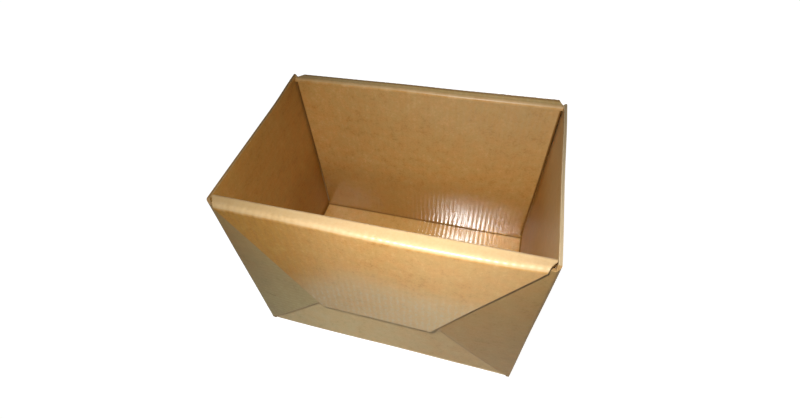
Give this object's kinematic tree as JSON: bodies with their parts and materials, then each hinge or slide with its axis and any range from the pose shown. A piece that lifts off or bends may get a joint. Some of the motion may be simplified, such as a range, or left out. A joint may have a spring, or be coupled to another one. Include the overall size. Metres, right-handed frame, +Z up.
{
  "type": "cardboard box",
  "caption": "Open-top shipping carton folded from glossy coated corrugated sheet, with pinched web corners and long rims rolled over into tapering glued tongues.",
  "frame": {"origin": "middle of the underside, on the ground", "axes": "+X along the carton's length, +Y across it towards the back long wall, +Z up out of the open top"},
  "size_m": [0.3772, 0.2686, 0.29],
  "materials": {
    "board": "glossy coated kraft liner with fine flute lines"
  },
  "bodies": {
    "root": {"carton": "board"}
  },
  "joints": []
}
